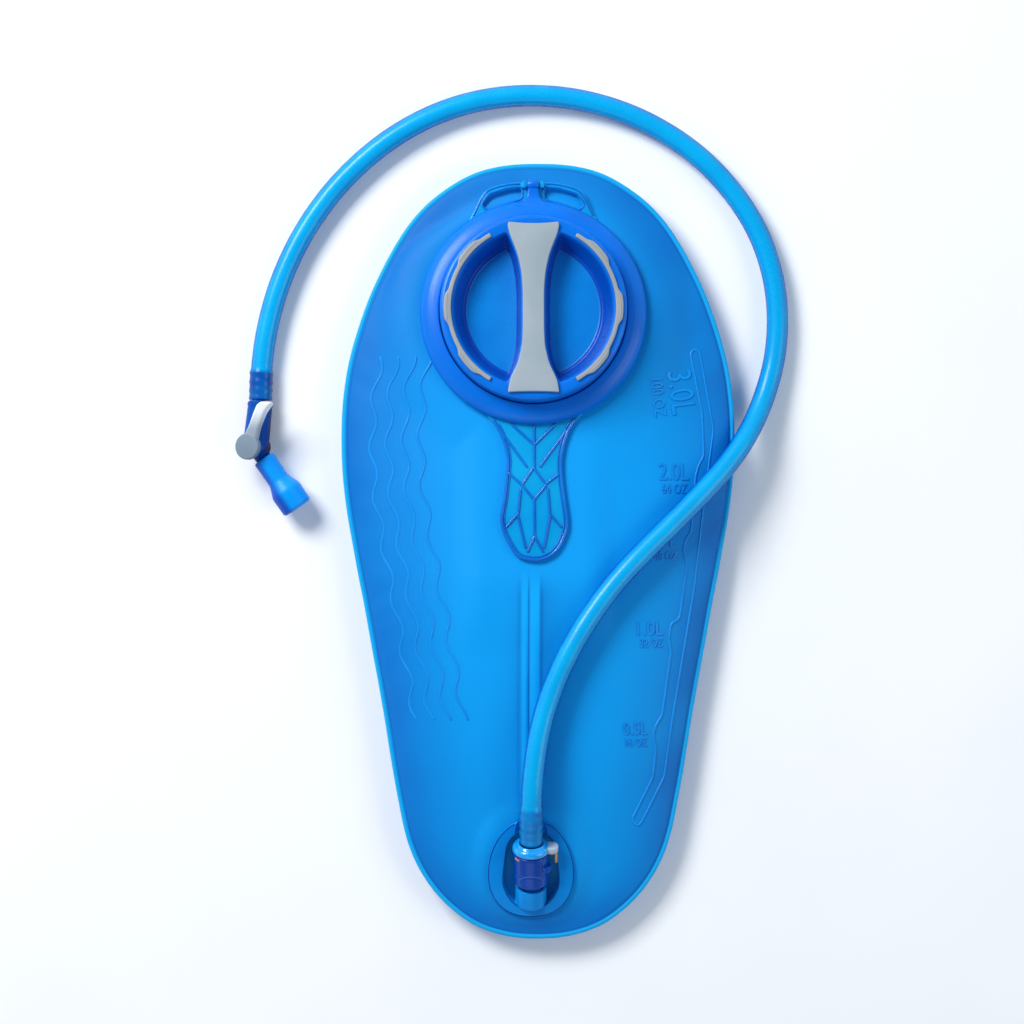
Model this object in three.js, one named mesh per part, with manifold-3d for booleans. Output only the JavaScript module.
// Three-litre drinking reservoir: a pear-shaped welded film bag lying on its
// back, with a wide screw cap on a leash, a centre baffle, a quick-release
// exit port, a drinking hose, a shut-off valve and a bite valve.
// Frame: millimetres, +Z up from the surface the bag lies on, +Y towards the
// filling end, +X to the right when the cap faces the viewer.
import * as THREE from 'three';
import { mergeVertices } from 'three/addons/utils/BufferGeometryUtils.js';
import Module from 'manifold-3d';

const wasm = await Module();
wasm.setup();

// ---------------------------------------------------------------- dimensions
const GAP = 0.3;                 // clearance left between touching pieces
const FILM = 1.2;                // film thickness
const WELD_W = 2.6;              // width of the perimeter weld
const RIM_Z = 12.0;              // height of the weld plane
const PORT = { x: -2.8, y: 132.6, z: 24.0, tilt: 5 };   // filling port frame
const FILM_HOLE_R = 50.5;        // hole in the front film under the port
const FLANGE_R = 61.5;           // weld flange of the filling port
const NECK_RI = 45.0, NECK_RO = 47.2, NECK_TOP = 15.0;
const THREAD_CREST = 47.9, CAP_THREAD_CREST = 48.6, LEAD = 12.0;
const CAP_R = 51.4, CAP_TOP = 20.0, SKIRT_RI = 49.0;
const POCKET_R_TOP = 44.7, POCKET_R_FLOOR = 38.0, POCKET_FLOOR = 7.0;
const TETHER_R = 62.6;           // outer radius of the leash ring
const HINGE_V = 71.4, HINGE_W = 3.4, BAR_R = 1.3;       // hang bar
const EXIT = { x: -4.0, y: -175.0, z: 22.1, tilt: 11 }; // exit port plate frame
const PLUG = { x: -4.0, y: -162.6, z: 30.6, tilt: 25 }; // collar centre, axis
const HOSE_R = 6.0;
const VALVE = { x: -157.9, y: 58.8, z: 9.9, lean: 22 }; // shut-off barrel frame
const BITE_DIR = [0.566, -0.8244, 0.0];                  // outlet direction

// right-hand outline of the bag, [y, half width]; the bag is symmetric
const OUTLINE = [[216.8, 12.6], [214.6, 27.1], [212.3, 34.6], [210.1, 39.7], [207.9, 43.9],
  [196.7, 60.1], [185.5, 70.7], [174.3, 78.2], [163.2, 84.4], [152.0, 90.0], [140.8, 95.0],
  [129.6, 98.9], [118.5, 102.5], [107.3, 105.6], [96.1, 107.6], [84.9, 109.0], [73.8, 109.8],
  [62.6, 109.8], [51.4, 109.7], [40.2, 109.0], [29.1, 107.6], [17.9, 106.2], [6.7, 103.9],
  [-4.5, 102.0], [-15.6, 100.0], [-26.8, 97.5], [-38.0, 95.6], [-49.2, 93.6], [-60.4, 91.6],
  [-71.5, 89.4], [-82.7, 87.5], [-93.9, 85.5], [-105.1, 83.8], [-116.2, 82.1], [-127.4, 80.2],
  [-138.6, 78.0], [-149.8, 76.0], [-160.9, 73.5], [-172.1, 69.3], [-183.3, 63.1],
  [-194.5, 54.2], [-204.5, 42.5], [-207.9, 37.4], [-210.1, 33.2], [-212.3, 26.5],
  [-214.6, 18.7], [-216.0, 10.0]];
// crown height of the front film along the middle of the bag, [y, z]
const CROWN = [[-217, 12.4], [-200, 16.6], [-187, 19.6], [-177, 21.4], [-165, 23.7],
  [-150, 26.7], [-140, 28.4], [-120, 31.6], [-80, 35.2], [-40, 36.5], [-5, 35.6],
  [70, 29.1], [132.6, 23.6], [195, 18.1], [206, 17.1], [217, 13.0]];
// centreline of the drinking hose, from the shut-off valve to the exit port
const HOSE_PATH = [[-155.6, 85.1, 6.1], [-155.1, 100.8, 6.1], [-153.4, 116.5, 6.1],
  [-150.3, 131.9, 6.1], [-145.9, 147.1, 6.1], [-140.2, 161.7, 6.1], [-133.2, 175.8, 6.1],
  [-124.9, 189.2, 6.1], [-115.4, 201.8, 6.1], [-104.7, 213.4, 6.1], [-92.9, 224.0, 6.1],
  [-80.2, 233.3, 6.1], [-66.6, 241.2, 6.1], [-52.3, 247.5, 6.1], [-37.4, 252.1, 6.1],
  [-21.9, 254.9, 6.1], [-6.3, 256.0, 6.1], [9.5, 255.4, 6.1], [25.2, 253.1, 6.1],
  [40.5, 249.1, 6.1], [55.4, 243.5, 6.1], [69.5, 236.3, 6.1], [82.8, 227.6, 6.1],
  [95.0, 217.5, 6.1], [105.8, 206.1, 6.1], [115.2, 193.6, 6.1], [123.0, 180.1, 6.1],
  [128.8, 165.6, 6.1], [132.6, 150.5, 6.2], [134.3, 134.9, 6.2], [134.0, 119.2, 6.1],
  [131.7, 103.7, 6.5], [127.3, 88.6, 8.2], [121.3, 74.2, 12.6], [113.7, 61.0, 18.8],
  [104.9, 49.0, 22.9], [95.1, 37.9, 26.5], [84.6, 27.0, 29.9], [73.7, 16.1, 32.6],
  [62.6, 5.3, 35.1], [51.8, -5.6, 37.5], [41.4, -17.2, 39.5], [31.8, -29.7, 41.0],
  [23.1, -42.9, 42.0], [15.4, -56.8, 42.4], [8.9, -71.2, 42.2], [3.7, -86.0, 42.3],
  [0.0, -101.2, 42.8], [-2.3, -116.5, 43.2], [-3.5, -130.4, 42.1], [-3.9, -144.4, 38.9],
  [-4.0, -151.9, 35.6], [-4.0, -159.34, 32.12]];

// ------------------------------------------------------------------- helpers
const V2 = (x, y) => new THREE.Vector2(x, y);
const V3 = (x, y, z) => new THREE.Vector3(x, y, z);
const rad = (d) => d * Math.PI / 180;

function signedVolume(pos, idx) {
  let v = 0;
  const a = V3(), b = V3(), c = V3();
  for (let i = 0; i < idx.length; i += 3) {
    a.fromArray(pos, idx[i] * 3); b.fromArray(pos, idx[i + 1] * 3); c.fromArray(pos, idx[i + 2] * 3);
    v += a.dot(b.cross(c));
  }
  return v / 6;
}
// merged, outward-facing position-only copy of a closed geometry
function clean(geo) {
  let g = geo.clone();
  for (const k of Object.keys(g.attributes)) if (k !== 'position') g.deleteAttribute(k);
  g = mergeVertices(g, 1e-4);
  const pos = Array.from(g.attributes.position.array);
  const src = Array.from(g.index.array);
  let idx = [];
  for (let i = 0; i < src.length; i += 3) {
    const [a, b, c] = [src[i], src[i + 1], src[i + 2]];
    if (a !== b && b !== c && a !== c) idx.push(a, b, c);
  }
  if (signedVolume(pos, idx) < 0) for (let i = 0; i < idx.length; i += 3) [idx[i + 1], idx[i + 2]] = [idx[i + 2], idx[i + 1]];
  const out = new THREE.BufferGeometry();
  out.setAttribute('position', new THREE.Float32BufferAttribute(pos, 3));
  out.setIndex(idx);
  return out;
}
function M(geo) {
  const g = clean(geo);
  return new wasm.Manifold(new wasm.Mesh({
    numProp: 3,
    vertProperties: new Float32Array(g.attributes.position.array),
    triVerts: new Uint32Array(g.index.array),
  }));
}
function G(man) {
  const m = man.getMesh();
  const p = new Float32Array(m.numVert * 3);
  for (let i = 0; i < m.numVert; i++) for (let k = 0; k < 3; k++) p[3 * i + k] = m.vertProperties[m.numProp * i + k];
  const g = new THREE.BufferGeometry();
  g.setAttribute('position', new THREE.Float32BufferAttribute(p, 3));
  g.setIndex(Array.from(m.triVerts));
  return g;
}
const unionOf = (...parts) => parts.reduce((a, b) => a.add(b));
// turned solid about +Z from a closed [radius, height] profile
function turned(profile, seg = 48) {
  const pts = profile.map(([r, h]) => V2(Math.max(r, 0), h));
  const first = profile[0], last = profile[profile.length - 1];
  if (first[0] > 0 || last[0] > 0) pts.push(V2(first[0], first[1]));
  const g = new THREE.LatheGeometry(pts, seg);
  g.rotateX(Math.PI / 2);
  return g;
}
// flat plate of an [x, y] outline between two heights, with optional holes
function plate(outline, z0, z1, holes = []) {
  const s = new THREE.Shape(outline.map(([x, y]) => V2(x, y)));
  for (const h of holes) s.holes.push(new THREE.Path(h.map(([x, y]) => V2(x, y))));
  const g = new THREE.ExtrudeGeometry(s, { depth: z1 - z0, bevelEnabled: false, curveSegments: 8 });
  g.translate(0, 0, z0);
  return g;
}
const circlePts = (r, n, cx = 0, cy = 0) => Array.from({ length: n }, (_, i) => {
  const a = 2 * Math.PI * i / n;
  return [cx + r * Math.cos(a), cy + r * Math.sin(a)];
});
// closed skin through equal loops of points, with fan caps
function loft(loops) {
  const n = loops[0].length, pos = [], idx = [];
  for (const l of loops) for (const p of l) pos.push(p.x, p.y, p.z);
  for (let j = 0; j + 1 < loops.length; j++) for (let i = 0; i < n; i++) {
    const a = j * n + i, b = j * n + (i + 1) % n, c = a + n, d = b + n;
    idx.push(a, b, d, a, d, c);
  }
  const cap = (base, flip) => {
    const c = V3();
    for (let i = 0; i < n; i++) c.add(V3(pos[(base + i) * 3], pos[(base + i) * 3 + 1], pos[(base + i) * 3 + 2]));
    c.divideScalar(n);
    const k = pos.length / 3;
    pos.push(c.x, c.y, c.z);
    for (let i = 0; i < n; i++) {
      const a = base + i, b = base + (i + 1) % n;
      if (flip) idx.push(k, b, a); else idx.push(k, a, b);
    }
  };
  cap(0, true); cap((loops.length - 1) * n, false);
  const g = new THREE.BufferGeometry();
  g.setAttribute('position', new THREE.Float32BufferAttribute(pos, 3));
  g.setIndex(idx);
  return g;
}
// cylinder or cone along a direction
function rod(p, dir, len, r0, r1 = r0, seg = 24) {
  const g = new THREE.CylinderGeometry(r1, r0, len, seg, 1);
  g.translate(0, len / 2, 0);
  g.applyQuaternion(new THREE.Quaternion().setFromUnitVectors(V3(0, 1, 0), dir.clone().normalize()));
  g.translate(p.x, p.y, p.z);
  return g;
}
// turned profile [radius, distance] carried to a point and direction
function turnedOn(profile, p, dir, seg = 32) {
  const g = turned(profile, seg);
  g.applyQuaternion(new THREE.Quaternion().setFromUnitVectors(V3(0, 0, 1), dir.clone().normalize()));
  g.translate(p.x, p.y, p.z);
  return g;
}
function box(x0, x1, y0, y1, z0, z1) {
  const g = new THREE.BoxGeometry(x1 - x0, y1 - y0, z1 - z0);
  g.translate((x0 + x1) / 2, (y0 + y1) / 2, (z0 + z1) / 2);
  return g;
}
// helical ridge with a trapezoid section, faded at both ends
function ridge(rRoot, rCrest, w0, phi0, sweep, half = 1.2, steps = 8) {
  const loops = [];
  for (let i = 0; i <= steps; i++) {
    const t = i / steps, phi = phi0 + sweep * t, w = w0 + LEAD * sweep * t / (2 * Math.PI);
    const fade = Math.min(1, 5 * t, 5 * (1 - t));
    const rc = rRoot + (rCrest - rRoot) * Math.max(fade, 0.3), hh = half * (0.6 + 0.4 * fade);
    const c = Math.cos(phi), s = Math.sin(phi);
    loops.push([[rRoot, w - hh], [rc, w - hh * 0.45], [rc, w + hh * 0.45], [rRoot, w + hh]]
      .map(([r, h]) => V3(r * c, r * s, h)));
  }
  return loft(loops);
}
const root = new THREE.Group();
root.name = 'hydration_bladder';
function put(name, geo, colour, rough, metal = 0, parent = root, opacity = 1) {
  const m = new THREE.MeshStandardMaterial({ color: new THREE.Color(colour), roughness: rough, metalness: metal });
  if (opacity < 1) { m.transparent = true; m.opacity = opacity; }
  const g = clean(geo);
  g.computeVertexNormals();
  const mesh = new THREE.Mesh(g, m);
  mesh.name = name;
  parent.add(mesh);
  return mesh;
}

// ------------------------------------------------------------- bag surfaces
const loopOutline = [];
for (const [y, w] of OUTLINE) loopOutline.push([w, y]);
loopOutline.push([0, -217.0]);
for (const [y, w] of [...OUTLINE].reverse()) loopOutline.push([-w, y]);
loopOutline.push([0, 217.0]);
function resample(loop, n) {
  const L = [0];
  for (let i = 0; i < loop.length; i++) {
    const a = loop[i], b = loop[(i + 1) % loop.length];
    L.push(L[i] + Math.hypot(b[0] - a[0], b[1] - a[1]));
  }
  const out = [], total = L[L.length - 1];
  for (let k = 0; k < n; k++) {
    const t = total * k / n;
    let i = 0;
    while (L[i + 1] < t) i++;
    const f = (t - L[i]) / (L[i + 1] - L[i]), a = loop[i], b = loop[(i + 1) % loop.length];
    out.push([a[0] + (b[0] - a[0]) * f, a[1] + (b[1] - a[1]) * f]);
  }
  return out;
}
function inset(loop, d) {
  const n = loop.length;
  return loop.map((p, i) => {
    const a = loop[(i + n - 1) % n], b = loop[(i + 1) % n];
    let nx = b[1] - a[1], ny = -(b[0] - a[0]);
    const l = Math.hypot(nx, ny);
    nx /= l; ny /= l;
    // the loop runs clockwise, so this normal points inwards when negated
    const toC = -p[0] * nx + (20 - p[1]) * ny;
    const s = toC > 0 ? 1 : -1;
    return [p[0] + s * nx * d, p[1] + s * ny * d];
  });
}
function edgeDistance(x, y) {
  let best = 1e9;
  for (let i = 0; i < loopOutline.length; i++) {
    const a = loopOutline[i], b = loopOutline[(i + 1) % loopOutline.length];
    const ux = b[0] - a[0], uy = b[1] - a[1];
    const t = Math.min(1, Math.max(0, ((x - a[0]) * ux + (y - a[1]) * uy) / (ux * ux + uy * uy)));
    best = Math.min(best, Math.hypot(x - a[0] - ux * t, y - a[1] - uy * t));
  }
  return best;
}
function lerpTable(tab, y) {
  const t = [...tab].sort((p, q) => p[0] - q[0]);
  if (y <= t[0][0]) return t[0][1];
  for (let i = 0; i + 1 < t.length; i++) if (y <= t[i + 1][0]) {
    const f = (y - t[i][0]) / (t[i + 1][0] - t[i][0]);
    return t[i][1] + (t[i + 1][1] - t[i][1]) * f;
  }
  return t[t.length - 1][1];
}
const smooth = (a, b, x) => { const t = Math.min(1, Math.max(0, (x - a) / (b - a))); return t * t * (3 - 2 * t); };
const planePort = (y) => PORT.z - (y - PORT.y) * Math.tan(rad(PORT.tilt)) - GAP / Math.cos(rad(PORT.tilt));
const planeExit = (y) => EXIT.z + (y - EXIT.y) * Math.tan(rad(EXIT.tilt)) - GAP / Math.cos(rad(EXIT.tilt));
const FRONT_RIM = RIM_Z + 0.15 + FILM;
function frontTop(x, y) {
  const d = edgeDistance(x, y) - WELD_W, R = Math.max(40, lerpTable(OUTLINE, y));
  const t = Math.min(1, Math.max(0, d / R));
  const crown = lerpTable(CROWN, y);
  let z = FRONT_RIM + (crown - FRONT_RIM) * Math.pow(1 - (1 - t) * (1 - t), 0.7);
  const rp = Math.hypot(x - PORT.x, y - PORT.y);
  let w = 1 - smooth(63.5, y > PORT.y + 45 ? 72 : 90, rp);
  const tongue = (1 - smooth(27, 46, Math.abs(x + 2))) * (1 - smooth(90, 110, y)) * smooth(-24, -9, y);
  w = Math.max(w, tongue) * smooth(0, 7.5, d);
  z += (planePort(y) - z) * w;
  const ex = (x - EXIT.x) / 25.5, ey = (y - EXIT.y) / 30.0;
  const we = (1 - smooth(1.0, 1.4, Math.hypot(ex, ey))) * smooth(0, 8, d);
  z += (planeExit(y) - z) * we;
  return Math.max(z, FRONT_RIM);
}
function backBottom(x, y) {
  const d = Math.min(1, Math.max(0, (edgeDistance(x, y) - WELD_W) / 32));
  return (RIM_Z - 0.15 - FILM) * (1 - Math.pow(1 - (1 - d) * (1 - d), 0.7));
}
const NA = 50;
const O = resample(loopOutline, NA), OI = inset(O, WELD_W);
// ring k of the film grid, from a centre ring outwards
function filmSolid(innerLoop, fractions, zOut, dz, closedCentre) {
  const rings = [];
  for (const f of fractions) rings.push(innerLoop.map((p, i) => [p[0] + (OI[i][0] - p[0]) * f, p[1] + (OI[i][1] - p[1]) * f]));
  rings.push(O);
  const pos = [], idx = [], n = NA, R = rings.length;
  for (const side of [0, 1]) for (const ring of rings) for (const [x, y] of ring) pos.push(x, y, zOut(x, y) + (side ? dz : 0));
  for (let side = 0; side < 2; side++) for (let j = 0; j + 1 < R; j++) for (let i = 0; i < n; i++) {
    const o = side * R * n, a = o + j * n + i, b = o + j * n + (i + 1) % n, c = a + n, d = b + n;
    if (side) idx.push(a, d, b, a, c, d); else idx.push(a, b, d, a, d, c);
  }
  const strip = (j, flip) => {
    for (let i = 0; i < n; i++) {
      const a = j * n + i, b = j * n + (i + 1) % n, c = a + R * n, d = b + R * n;
      if (flip) idx.push(a, d, b, a, c, d); else idx.push(a, b, d, a, d, c);
    }
  };
  strip(R - 1, false);
  if (!closedCentre) strip(0, true);
  else for (let side = 0; side < 2; side++) {
    const k = pos.length / 3, o = side * R * n;
    const [cx, cy] = closedCentre;
    pos.push(cx, cy, zOut(cx, cy) + (side ? dz : 0));
    for (let i = 0; i < n; i++) { const a = o + i, b = o + (i + 1) % n; if (side) idx.push(k, a, b); else idx.push(k, b, a); }
  }
  const g = new THREE.BufferGeometry();
  g.setAttribute('position', new THREE.Float32BufferAttribute(pos, 3));
  g.setIndex(idx);
  return g;
}
// front film: grid from the port hole to the weld, then the exit port hole
const holeRing = O.map(([x, y]) => {
  const a = Math.atan2(y - PORT.y, x - PORT.x);
  return [PORT.x + FILM_HOLE_R * Math.cos(a), PORT.y + FILM_HOLE_R * Math.sin(a)];
});
const ring2 = holeRing.map(([x, y]) => [PORT.x + (x - PORT.x) * 65 / FILM_HOLE_R, PORT.y + (y - PORT.y) * 65 / FILM_HOLE_R]);
function frontFilm() {
  const fr = [0, 0.12, 0.25, 0.4, 0.55, 0.7, 0.82, 0.92, 1];
  const rings = [holeRing, ...fr.map((f) => ring2.map((p, i) => [p[0] + (OI[i][0] - p[0]) * f, p[1] + (OI[i][1] - p[1]) * f])), O];
  const pos = [], idx = [], n = NA, R = rings.length;
  for (const side of [0, 1]) for (const ring of rings) for (const [x, y] of ring) pos.push(x, y, frontTop(x, y) - (side ? FILM : 0));
  for (let side = 0; side < 2; side++) for (let j = 0; j + 1 < R; j++) for (let i = 0; i < n; i++) {
    const o = side * R * n, a = o + j * n + i, b = o + j * n + (i + 1) % n, c = a + n, d = b + n;
    if (side) idx.push(a, d, b, a, c, d); else idx.push(a, b, d, a, d, c);
  }
  for (const j of [0, R - 1]) for (let i = 0; i < n; i++) {
    const a = j * n + i, b = j * n + (i + 1) % n, c = a + R * n, d = b + R * n;
    if (j === 0) idx.push(a, d, b, a, c, d); else idx.push(a, b, d, a, d, c);
  }
  const g = new THREE.BufferGeometry();
  g.setAttribute('position', new THREE.Float32BufferAttribute(pos, 3));
  g.setIndex(idx);
  return g;
}
// tub outline of the exit port in its own plate frame, [x, y]
const TUB = [[-8.6, 20.4], [8.6, 20.4], [12.2, 15.5], [13.4, 12], [14.4, 4], [15.4, -5], [15.2, -10], [12.8, -16], [9.5, -20],
  [5.2, -22.8], [0, -23.8], [-5.2, -22.8], [-9.5, -20], [-12.8, -16], [-15.2, -10], [-15.4, -5], [-14.4, 4], [-13.4, 12], [-12.2, 15.5]];
const grow = (loop, d, cx = 0, cy = 0) => loop.map(([x, y]) => {
  const l = Math.hypot(x - cx, y - cy);
  return [x + (x - cx) / l * d, y + (y - cy) / l * d];
});
const exitMatrix = new THREE.Matrix4().makeRotationX(rad(EXIT.tilt)).setPosition(EXIT.x, EXIT.y, EXIT.z);
{
  const cut = plate(grow(TUB, 1.5), -14, 12);
  cut.applyMatrix4(exitMatrix);
  const pl = V3(PLUG.x, PLUG.y, PLUG.z), pa = V3(0, Math.cos(rad(PLUG.tilt)), Math.sin(rad(PLUG.tilt)));
  const sleeve = rod(pl.clone().addScaledVector(pa, -38), pa, 20, 9.2, 9.2, 18);
  // channel in the film that the plug slides out along
  const below = plate([[-15, -40], [15, -40], [15, 50], [-15, 50]], -14, -0.3);
  below.applyMatrix4(exitMatrix);
  const channel = M(rod(pl.clone(), pa, 46, 12.5, 12.5, 24)).subtract(M(rod(pl.clone().addScaledVector(pa, -1), pa, 48, 11.3, 11.3, 24))).intersect(M(below));
  const dented = M(frontFilm()).subtract(M(rod(pl.clone(), pa, 46, 12.3, 12.3, 24))).add(channel);
  put('front_film', G(dented.subtract(M(cut)).subtract(M(sleeve))), 0x009ff0, 0.35, 0, root, 0.8);
}
{
  const inner = O.map(([x, y]) => [x * 0.18, 10 + (y - 10) * 0.18]);
  put('back_film', filmSolid(inner, [0, 0.5, 0.72, 0.84, 0.93, 1], backBottom, FILM, [0, 10]), 0x0090e0, 0.35, 0, root, 0.8);
}
// centre baffle: an upright web with a weld flange along each film
{
  const top = [], bot = [];
  for (let y = -12; y >= -138; y -= 14) top.push([y, lerpTable(CROWN, y) - FILM - 2.3]);
  const y0 = -12, y1 = -138, x0 = -4.4;
  const web = [[y0, 1.9], ...top, [y1, 1.9]];
  const band = [...top, ...[...top].reverse().map(([y, z]) => [y, z - 0.8])];
  const side = (outline, w) => {
    const g = plate(outline, -w / 2, w / 2);
    // outline [y, z] stood up so that the plate's thickness runs along X
    g.applyMatrix4(new THREE.Matrix4().makeBasis(V3(0, 1, 0), V3(0, 0, 1), V3(1, 0, 0)));
    g.translate(x0, 0, 0);
    return g;
  };
  put('center_baffle', G(unionOf(M(side(web, 0.8)), M(side(band, 10.8)), M(box(x0 - 5.4, x0 + 5.4, y1, y0, 1.6, 2.4)))), 0x10a8f8, 0.35, 0, root, 0.85);
}

// ------------------------------------------------------------- filling port
const port = new THREE.Group();
port.position.set(PORT.x, PORT.y, PORT.z);
port.rotation.x = -rad(PORT.tilt);
root.add(port);
// ribs on the grip tongue, [x, y] lines in the port frame
const TONGUE = [[-35.2, -48], [-26.8, -56.0], [-20.4, -64.4], [-16.6, -73.4], [-15.0, -81.2], [-15.3, -89.3],
  [-16.6, -102.2], [-18.2, -111.9], [-18.2, -117.0], [-16.3, -124.0], [-10.8, -133.7], [-6.3, -137.1], [0.5, -138.2],
  [6.0, -137.4], [12.3, -133.7], [16.5, -127.4], [19.3, -119.5], [19.2, -111.9], [17.3, -99.1], [16.2, -87.3],
  [16.8, -76.7], [20.7, -65.0], [26.8, -57.0], [35.2, -48]];
const RIBS = [[[0.5, -63], [0.5, -86.2]], [[0.5, -104.1], [0.7, -124.0]],
  [[-13.5, -61], [0.1, -73.3]], [[13.5, -61], [1, -73.3]], [[-18.0, -66], [-3.8, -85.5]], [[18.0, -66], [3.9, -85.5]],
  [[0.1, -86.2], [-6.3, -95.8], [0.4, -104.1], [7.1, -95.8], [0.1, -86.2]],
  [[-6.3, -95.8], [-13.4, -89.4]], [[7.1, -95.1], [13.9, -90.0]],
  [[-7.0, -98.3], [-8.3, -111.8], [-14.7, -118.9]], [[8.0, -98.3], [9.1, -111.8], [15.2, -118.9]],
  [[-8.6, -112], [-4.4, -130.4]], [[9.4, -112], [5.9, -130.4]],
  [[-3.1, -132.5], [0.7, -124.0], [5.2, -132.5]]];
const LOOP_OUT = [[-38, 46], [-33.5, 56], [-30, 63.5], [-25.7, 69.7], [-15, 72.6], [-3.3, 73.4], [3.3, 73.4], [15, 72.6], [25.7, 69.7], [30, 63.5], [33.5, 56], [38, 46]];
const SLOT_R = [[6.6, 64.2], [14, 62.2], [20, 60.4], [25.6, 58.0], [28.2, 60.5], [24.5, 66.0], [14.5, 69.2], [6.6, 69.9]];
const SLOT_L = SLOT_R.map(([x, y]) => [-x, y]).reverse();
{
  const T = 1.7;
  const disc = M(plate(circlePts(FLANGE_R, 40), 0, T));
  const tongue = M(plate(TONGUE, 0, T));
  const loop = M(plate(LOOP_OUT, 0, T, [SLOT_R, SLOT_L]));
  let solid = unionOf(disc, tongue, loop);
  // raised ribs and border
  for (const line of RIBS) for (let i = 0; i + 1 < line.length; i++) {
    const [ax, ay] = line[i], [bx, by] = line[i + 1];
    const l = Math.hypot(bx - ax, by - ay), ang = Math.atan2(by - ay, bx - ax);
    const g = box(-0.6, l + 0.6, -0.6, 0.6, T - 0.4, T + 0.9);
    g.rotateZ(ang); g.translate(ax, ay, 0);
    solid = solid.add(M(g));
  }
  solid = solid.subtract(M(turned([[0, T], [63.4, T], [63.4, 5], [0, 5]], 48)));
  // posts that hold the hang bar, and the bar between them
  for (const s of [-1, 1]) solid = solid.add(M(box(s > 0 ? 3.7 : -6.2, s > 0 ? 6.2 : -3.7, HINGE_V - 1.9, HINGE_V + 1.9, 0.2, HINGE_W + BAR_R)));
  // openings: the port, and the window under the leash eye
  solid = solid.subtract(M(turned([[0, -1], [NECK_RO + 0.4, -1], [NECK_RO + 0.5, 6], [0, 6]], 40)));
  solid = solid.subtract(M(box(-3.5, 3.5, HINGE_V - 4.4, HINGE_V + 6, -1, 2.6)));
  solid = solid.add(M(rod(V3(-4.5, HINGE_V, HINGE_W), V3(1, 0, 0), 9, BAR_R, BAR_R, 16)));
  put('port_base', G(solid), 0x35b4f5, 0.15, 0, port, 0.55);
}
{
  let neck = M(turned([[NECK_RI, -2.6], [50.0, -2.6], [50.0, -0.4], [NECK_RO, -0.4], [NECK_RO, NECK_TOP - 0.6], [NECK_RO - 0.6, NECK_TOP], [NECK_RI + 0.6, NECK_TOP], [NECK_RI, NECK_TOP - 0.6]], 40));
  for (let k = 0; k < 3; k++) neck = neck.add(M(ridge(NECK_RO - 0.5, THREAD_CREST, 8.6, k * 2 * Math.PI / 3, rad(88))));
  put('port_neck', G(neck), 0x1f8fe0, 0.2, 0, port, 0.7);
}
// leash ring that the cap turns in, its strap and the eye round the hang bar
{
  let ring = M(turned([[53.4, 2.0], [TETHER_R - 0.4, 2.0], [TETHER_R, 2.5], [TETHER_R, 3.8], [61.4, 5.8], [58.9, 7.7], [55.6, 9.1], [52.6, 9.7], [52.0, 9.5], [52.0, 8.7], [53.4, 8.4]], 40));
  const strap = plate([[-9.5, 59], [-5.5, 61.5], [-3.5, 64.5], [-3.0, 68], [-3.0, HINGE_V], [3.0, HINGE_V], [3.0, 68], [3.5, 64.5], [5.5, 61.5], [9.5, 59]], 2.0, 4.9);
  ring = unionOf(ring, M(strap), M(rod(V3(-3, HINGE_V, HINGE_W), V3(1, 0, 0), 6, 3.0, 3.0, 20)));
  ring = ring.subtract(M(rod(V3(-5, HINGE_V, HINGE_W), V3(1, 0, 0), 10, BAR_R + 0.35, BAR_R + 0.35, 16)));
  put('cap_tether', G(ring), 0x0068d6, 0.25, 0, port);
}
{
  let cap = M(turned([[0, POCKET_FLOOR], [POCKET_R_FLOOR, POCKET_FLOOR], [POCKET_R_TOP - 0.4, CAP_TOP - 0.4], [POCKET_R_TOP, CAP_TOP],
    [CAP_R - 2.2, CAP_TOP], [CAP_R - 0.7, CAP_TOP - 0.8], [CAP_R, CAP_TOP - 2.4], [CAP_R, 5.0], [52.8, 4.8], [52.8, 3.7],
    [CAP_R, 3.2], [SKIRT_RI, 3.2], [SKIRT_RI, CAP_TOP - 3.0], [POCKET_R_TOP - 0.3, CAP_TOP - 3.0],
    [39.8, 5.6], [0, 5.6]], 40));
  // bar across the pockets
  const half = [[47.1, 14.5], [40.6, 13.2], [34.6, 10.8], [28.6, 8.5], [18.7, 6.5], [8.7, 5.8], [-11.3, 5.8], [-21.3, 6.2], [-31.2, 8.5], [-36, 10.8], [-40.2, 13], [-47.2, 14]];
  const bar = [...half.map(([v, h]) => [h + 0.6, v]), ...[...half].reverse().map(([v, h]) => [-h - 0.6, v])];
  const clip = turned([[0, 6.2], [38.6, 6.2], [45.4, CAP_TOP], [0, CAP_TOP]], 40);
  cap = cap.add(M(plate(bar, 6.2, CAP_TOP)).intersect(M(clip)));
  for (let k = 0; k < 3; k++) cap = cap.add(M(ridge(SKIRT_RI + 0.4, CAP_THREAD_CREST, 5.2, k * 2 * Math.PI / 3 + 0.5, rad(88), 1.0)));
  put('cap_shell', G(cap), 0x0052c4, 0.25, 0, port);
  const grip = [...half.map(([v, h]) => [h, v]), ...[...half].reverse().map(([v, h]) => [-h, v])];
  put('handle_grip', plate(grip, CAP_TOP + GAP, CAP_TOP + 2.0), 0xa0acb4, 0.6, 0, port);
}
put('cap_seal', turned([[NECK_RI + 0.2, NECK_TOP + GAP], [SKIRT_RI - 0.4, NECK_TOP + GAP], [SKIRT_RI - 0.4, CAP_TOP - 3.0 - GAP], [NECK_RI + 0.2, CAP_TOP - 3.0 - GAP]], 32), 0xc8ced2, 0.8, 0, port);
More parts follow.
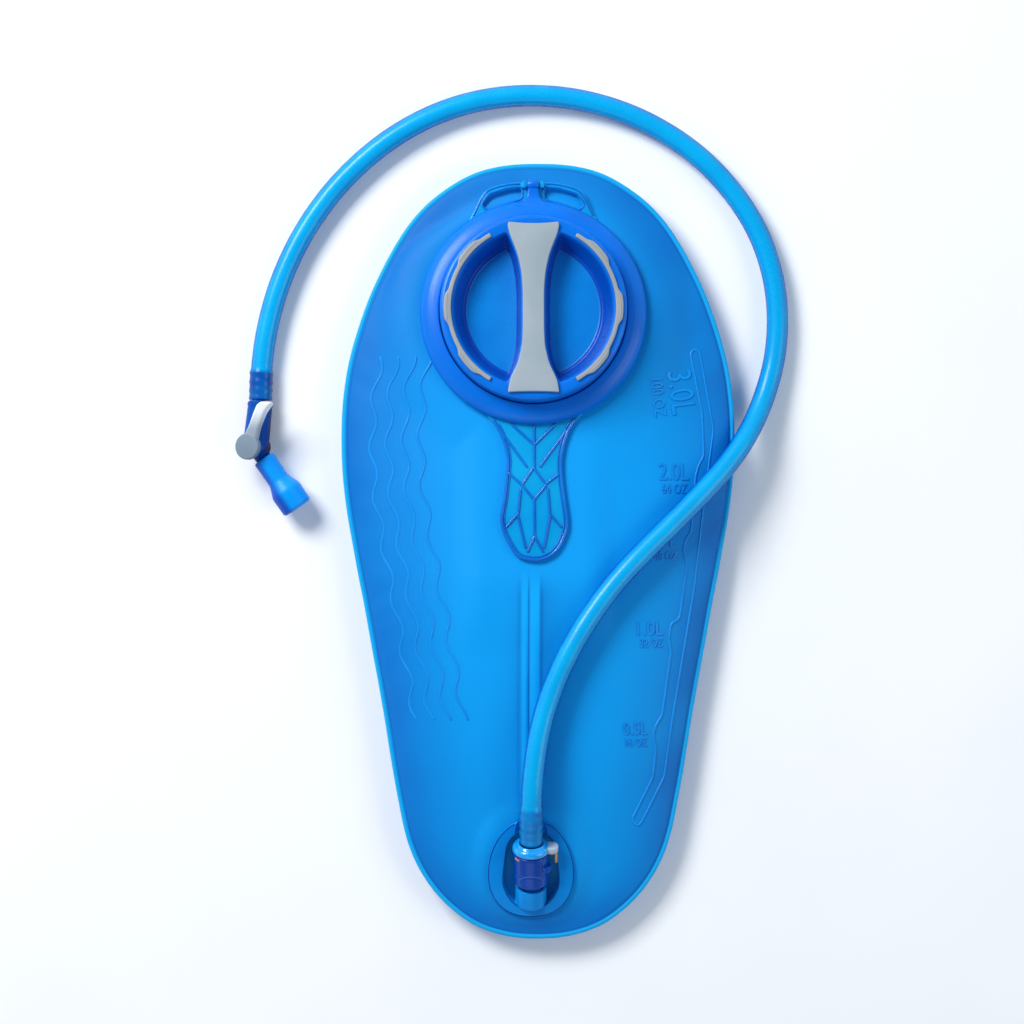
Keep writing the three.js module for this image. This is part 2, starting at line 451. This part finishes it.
// two grip pads on the cap's rim
for (const [name, mid] of [['rim_grip_left', 180], ['rim_grip_right', 0]]) {
  const half = 59.5, inner = [], outer = [];
  for (let i = 0; i <= 20; i++) {
    const a = -half + 2 * half * i / 20;
    // three wider lobes with narrow stretches between them
    const lobe = Math.max(0, Math.cos(rad(a * 180 / 39.7)) );
    const w = Math.abs(a) > 56 ? 2.2 : 2.4 + 2.5 * Math.pow(Math.abs(Math.cos(rad(a * 90 / 20))), 0.7) * (Math.abs(a) < 58 ? 1 : 0) * (lobe > 0 ? 1 : 0.55);
    const t = rad(mid + a);
    inner.push([45.1 * Math.cos(t), 45.1 * Math.sin(t)]);
    outer.push([(45.1 + w) * Math.cos(t), (45.1 + w) * Math.sin(t)]);
  }
  // clear of the handle
  put(name, plate([...inner, ...outer.reverse()], CAP_TOP + GAP, CAP_TOP + 1.5), 0x9ea0a2, 0.65, 0, port);
}

// ---------------------------------------------------------------- exit port
const pd = V3(0, Math.cos(rad(PLUG.tilt)), Math.sin(rad(PLUG.tilt)));
const P0 = V3(PLUG.x, PLUG.y, PLUG.z);
const onPlug = (s) => P0.clone().addScaledVector(pd, s);
{
  const egg = [];
  for (let i = 0; i < 24; i++) {
    const a = 2 * Math.PI * i / 24, c = Math.cos(a), s = Math.sin(a);
    const w = 23.9 * (1 - 0.10 * s);
    egg.push([w * Math.sign(c) * Math.pow(Math.abs(c), 0.9), 28.3 * Math.sign(s) * Math.pow(Math.abs(s), 0.95)]);
  }
  const local = (g) => { g.applyMatrix4(exitMatrix); return g; };
  let s = M(local(plate(egg, 0, 1.6))).add(M(local(plate(grow(TUB, 1.2), -10.2, 1.6))));
  s = s.add(M(turnedOn([[0, -37], [7.4, -37], [8.6, -35.5], [8.6, -25], [0, -25]], P0, pd, 18)));
  s = s.subtract(M(local(plate(TUB, -9.0, 30))).subtract(M(turnedOn([[0, -36.9], [7.4, -36.9], [8.6, -35.4], [8.6, -24.8], [0, -24.8]], P0, pd, 18))));
  // bore for the plug's nose and the valve, the water hole, and the run of the plug
  s = s.subtract(M(turnedOn([[0, -35.2], [6.6, -35.2], [6.6, -30.2], [3.4, -30.2], [3.4, -29.0], [7.2, -29.0], [7.2, -20], [0, -20]], P0, pd, 16)));
  s = s.subtract(M(turnedOn([[0, -40], [2.6, -40], [2.6, -34], [0, -34]], P0, pd, 12)));
  s = s.subtract(M(turnedOn([[0, -24.6], [10.9, -24.6], [10.9, 70], [0, 70]], P0, pd, 16)));
  put('exit_port_base', G(s), 0x1ea2f2, 0.2, 0, root, 0.6);
}
put('shutoff_poppet', turnedOn([[0, -33.4], [5.5, -33.4], [5.9, -33.0], [5.9, -32.5], [2.2, -32.2], [1.8, -28.9], [0, -28.9]], P0, pd, 16), 0xd8dde0, 0.4);
// wire spring along an axis: [radius, distance] along its turns
function coil(r0, r1, h0, h1, turns, wire, p, dir, steps = 26) {
  const pts = [];
  for (let i = 0; i <= steps; i++) {
    const t = i / steps, a = 2 * Math.PI * turns * t, r = r0 + (r1 - r0) * t;
    pts.push(V3(r * Math.cos(a), r * Math.sin(a), h0 + (h1 - h0) * t));
  }
  const c = new THREE.CatmullRomCurve3(pts);
  const g = new THREE.ExtrudeGeometry(new THREE.Shape(circlePts(wire / 2, 5).map(([x, y]) => V2(x, y))), { steps, extrudePath: c, bevelEnabled: false });
  g.applyQuaternion(new THREE.Quaternion().setFromUnitVectors(V3(0, 0, 1), dir.clone().normalize()));
  g.translate(p.x, p.y, p.z);
  return g;
}
put('poppet_spring', coil(5.2, 3.3, -34.75, -33.95, 2.2, 0.45, P0, pd), 0xb8bcc0, 0.3, 1);
put('plug_o_ring', turnedOn([[5.75, -27.3], [6.6, -27.3], [6.95, -26.8], [6.95, -26.1], [6.6, -25.6], [5.75, -25.6]], P0, pd, 16), 0x6e2a22, 0.6);
{
  // body, nose with a ring groove, through bore and barb
  let b = M(turnedOn([[0, -28.6], [5.8, -28.6], [6.7, -28.0], [6.7, -27.6], [5.45, -27.6], [5.45, -25.3], [6.7, -25.3], [6.7, -22.4],
    [9.2, -21.8], [9.9, -21.0], [9.9, -3.0], [9.2, -2.4], [0, -2.4]], P0, pd, 18));
  b = b.add(M(rod(onPlug(-17).add(V3(0, 0, 0)), pd, 10, 3.6, 3.6, 12)));
  // lug under the button
  const lug = box(5, 12.4, -12.0, -8.6, -3.5, 3.5);
  lug.applyQuaternion(new THREE.Quaternion().setFromUnitVectors(V3(0, 1, 0), pd));
  lug.translate(P0.x, P0.y, P0.z);
  b = b.add(M(lug));
  b = b.subtract(M(turnedOn([[0, -30], [3.0, -30], [3.0, 10], [0, 10]], P0, pd, 16)));
  put('quick_link_plug', G(b), 0x0a4ab8, 0.25);
}
{
  let c = M(turnedOn([[3.2, -2.0], [9.6, -2.0], [10.4, -1.2], [10.4, 0.8], [9.4, 2.4], [7.4, 3.2], [3.2, 3.2]], P0, pd, 18));
  // pocket for the release button
  const pocket = box(5.2, 13, -3.2, 1.7, -4.4, 4.4);
  pocket.applyQuaternion(new THREE.Quaternion().setFromUnitVectors(V3(0, 1, 0), pd));
  pocket.translate(P0.x, P0.y, P0.z);
  c = c.subtract(M(pocket));
  put('plug_collar', G(c), 0x30c0ff, 0.15);
}
{
  const q = new THREE.Quaternion().setFromUnitVectors(V3(0, 1, 0), pd);
  const face = plate([[7.8, -1.7], [13.2, -1.7], [15.0, -0.6], [15.0, 0.4], [13.0, 1.4], [7.8, 1.4]], -4.0, 4.0);
  const skirtB = box(13.2, 14.6, -8.0, -1.2, -0.8, 3.0);
  const b = M(face).add(M(skirtB));
  const g = G(b);
  g.applyQuaternion(q); g.translate(P0.x, P0.y, P0.z);
  put('release_button', g, 0xb5cada, 0.45);
  const at = P0.clone().addScaledVector(pd, -0.2);
  put('button_spring', coil(1.3, 1.3, 5.6, 7.4, 2.6, 0.4, at, V3(1, 0, 0), 22), 0xb8bcc0, 0.3, 1);
}

// -------------------------------------------------------------------- hose
{
  const curve = new THREE.CatmullRomCurve3(HOSE_PATH.map((p) => V3(...p)), false, 'centripetal');
  const ring = new THREE.Shape(circlePts(HOSE_R, 10, 0, 0).map(([x, y]) => V2(x, y)));
  put('hose', new THREE.ExtrudeGeometry(ring, { steps: 36, extrudePath: curve, bevelEnabled: false }), 0x0a9be0, 0.25, 0, root, 0.85);
}

// -------------------------------------------------------------- valve end
const va = V3(-Math.sin(rad(VALVE.lean)), 0, Math.cos(rad(VALVE.lean)));
const B0 = V3(VALVE.x, VALVE.y, VALVE.z);
const bd = V3(...BITE_DIR).normalize();
const inlet = V3(-155.6, 84.2, 6.8);
const inDir = inlet.clone().sub(B0).normalize();
{
  const len = inlet.distanceTo(B0);
  let s = M(rod(B0.clone(), inDir, len - 0.2, 7.3, 6.7, 16));
  s = s.add(M(turnedOn([[0, -7.4], [5.0, -7.4], [6.3, -6.0], [6.3, 7.2], [0, 7.2]], B0, va, 18)));
  s = s.add(M(rod(B0.clone(), bd, 18, 4.0, 4.0, 14)));
  s = s.subtract(M(rod(B0.clone().addScaledVector(va, -6.2), va, 20, 5.2, 5.2, 16)));
  s = s.subtract(M(rod(B0.clone(), inDir, 40, 2.8, 2.8, 10)));
  s = s.subtract(M(rod(B0.clone(), bd, 30, 2.6, 2.6, 10)));
  put('lock_body', G(s), 0x0a2f86, 0.3);
}
{
  let b = M(turnedOn([[0, -5.8], [4.85, -5.8], [4.85, -4.9], [4.1, -4.9], [4.1, -3.5], [4.85, -3.5], [4.85, 3.5], [4.1, 3.5], [4.1, 4.9], [4.85, 4.9], [4.85, 7.2], [0, 7.2]], B0, va, 16));
  b = b.subtract(M(rod(B0.clone().addScaledVector(inDir, -9), inDir, 18, 2.6, 2.6, 10)));
  b = b.subtract(M(rod(B0.clone(), bd, 9, 2.6, 2.6, 10)));
  put('lock_barrel', G(b), 0xd0d6da, 0.4);
}
put('barrel_o_ring_lower', turnedOn([[4.4, -4.7], [4.75, -4.7], [5.05, -4.4], [5.05, -4.0], [4.75, -3.7], [4.4, -3.7]], B0, va, 16), 0x202224, 0.7);
put('barrel_o_ring_upper', turnedOn([[4.4, 3.7], [4.75, 3.7], [5.05, 4.0], [5.05, 4.4], [4.75, 4.7], [4.4, 4.7]], B0, va, 16), 0x202224, 0.7);
{
  // disc over the barrel and a paddle that runs up along the hose
  const vy = inDir.clone().addScaledVector(va, -inDir.dot(va)).normalize();
  const vx = vy.clone().cross(va);
  const basis = new THREE.Matrix4().makeBasis(vx, vy, va).setPosition(B0);
  const loops = [];
  const st = [[2.0, 0.8, 4.9, 7.5, 10.8], [6.6, 2.1, 4.4, 7.7, 10.9], [11.0, 3.8, 3.9, 8.1, 11.2], [15.0, 5.6, 3.8, 8.5, 11.8], [18.0, 7.1, 3.8, 9.0, 12.6], [21.0, 9.1, 4.1, 9.6, 13.4], [23.4, 11.2, 4.5, 10.6, 14.2], [24.9, 12.4, 3.6, 11.6, 14.4]];
  for (const [y, x, h, z0, z1] of st) loops.push([V3(x - h, y, z0), V3(x + h, y, z0), V3(x + h, y, z1 - 0.6), V3(x + h - 0.8, y, z1), V3(x - h + 0.8, y, z1), V3(x - h, y, z1 - 0.6)]);
  const disc = turned([[0, 7.5], [6.8, 7.5], [7.4, 8.1], [7.4, 10.6], [6.8, 11.2], [0, 11.2]], 20);
  const g = G(M(disc).add(M(loft(loops))));
  g.applyMatrix4(basis);
  put('lock_lever', g, 0xa8b4bc, 0.4);
}
{
  const skin = M(turnedOn([[4.3, 7.9], [5.8, 7.9], [6.3, 8.5], [6.1, 22.8], [7.9, 27.4], [8.95, 30.3], [8.75, 40.2], [8.1, 41.4], [0, 41.4], [0, 38.9], [4.3, 38.9]], B0, bd, 16));
  // slit across the mouth
  const slit = box(-5.2, 5.2, 37, 43, -0.25, 0.25);
  slit.applyQuaternion(new THREE.Quaternion().setFromUnitVectors(V3(0, 1, 0), bd));
  slit.translate(B0.x, B0.y, B0.z);
  put('bite_valve', G(skin.subtract(M(slit))), 0x0090f4, 0.45);
}

export default root;
